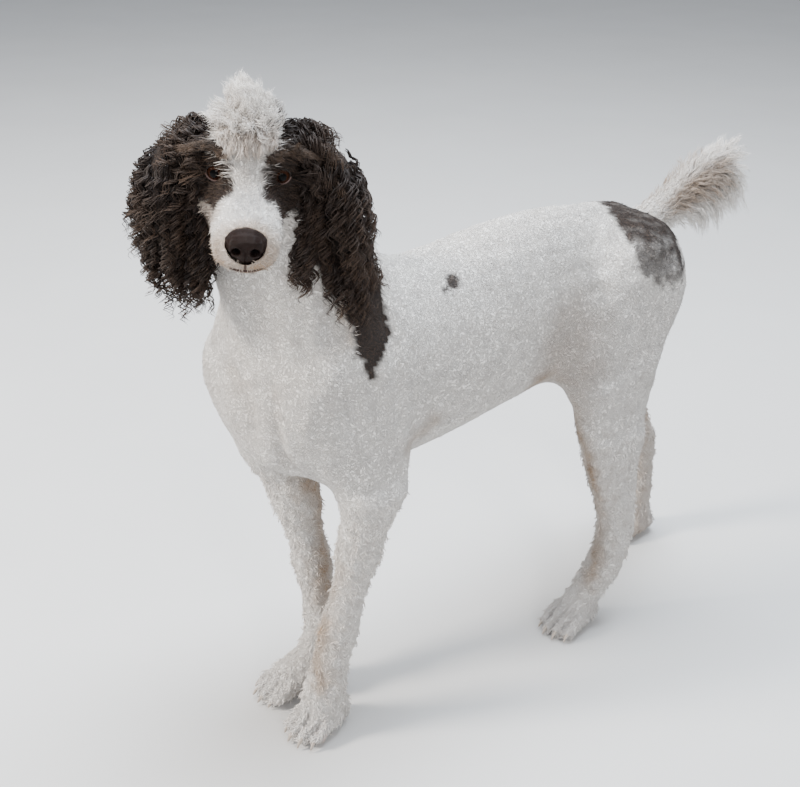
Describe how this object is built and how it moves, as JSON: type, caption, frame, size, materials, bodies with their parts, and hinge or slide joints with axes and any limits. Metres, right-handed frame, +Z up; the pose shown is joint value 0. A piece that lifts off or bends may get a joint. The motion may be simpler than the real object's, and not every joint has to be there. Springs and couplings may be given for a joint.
{
  "type": "standard poodle",
  "caption": "Life-size standing poodle with short white coat, dark long-haired ears, a topknot and a plumed tail, head turned to its left.",
  "frame": {"origin": "on the floor, below the middle of the whole dog's box", "axes": "+Z up; the dog faces -Y with its left side towards +X, and its head is turned about 60 degrees to its left"},
  "size_m": [0.2878, 0.8868, 0.8152],
  "materials": {
    "white_coat": "short clipped curly white coat with grey and cream shading",
    "cream_coat": "longer soft cream-white hair with tan shading",
    "brown_coat": "long dark brown ringlets with lighter brown tips",
    "eye": "dark brown iris under a wet clear cornea",
    "nose": "dark brown-black, pebbled and slightly wet",
    "claw": "dull translucent horn"
  },
  "bodies": {
    "root": {"chest": "white_coat", "claw_forepaw_left_1": "claw", "claw_forepaw_left_2": "claw", "claw_forepaw_left_3": "claw", "claw_forepaw_left_4": "claw", "claw_forepaw_right_1": "claw", "claw_forepaw_right_2": "claw", "claw_forepaw_right_3": "claw", "claw_forepaw_right_4": "claw", "claw_hindpaw_left_1": "claw", "claw_hindpaw_left_2": "claw", "claw_hindpaw_left_3": "claw", "claw_hindpaw_left_4": "claw", "claw_hindpaw_right_1": "claw", "claw_hindpaw_right_2": "claw", "claw_hindpaw_right_3": "claw", "claw_hindpaw_right_4": "claw", "ear_left": "brown_coat", "ear_right": "brown_coat", "eye_left": "eye", "eye_right": "eye", "foreleg_left": "white_coat", "foreleg_right": "white_coat", "forepaw_left": "white_coat", "forepaw_right": "white_coat", "head": "white_coat", "hindpaw_left": "white_coat", "hindpaw_right": "white_coat", "loin": "white_coat", "neck": "white_coat", "nose": "nose", "rump": "white_coat", "shank_left": "white_coat", "shank_right": "white_coat", "tail": "cream_coat", "thigh_left": "white_coat", "thigh_right": "white_coat", "topknot": "white_coat"}
  },
  "joints": []
}
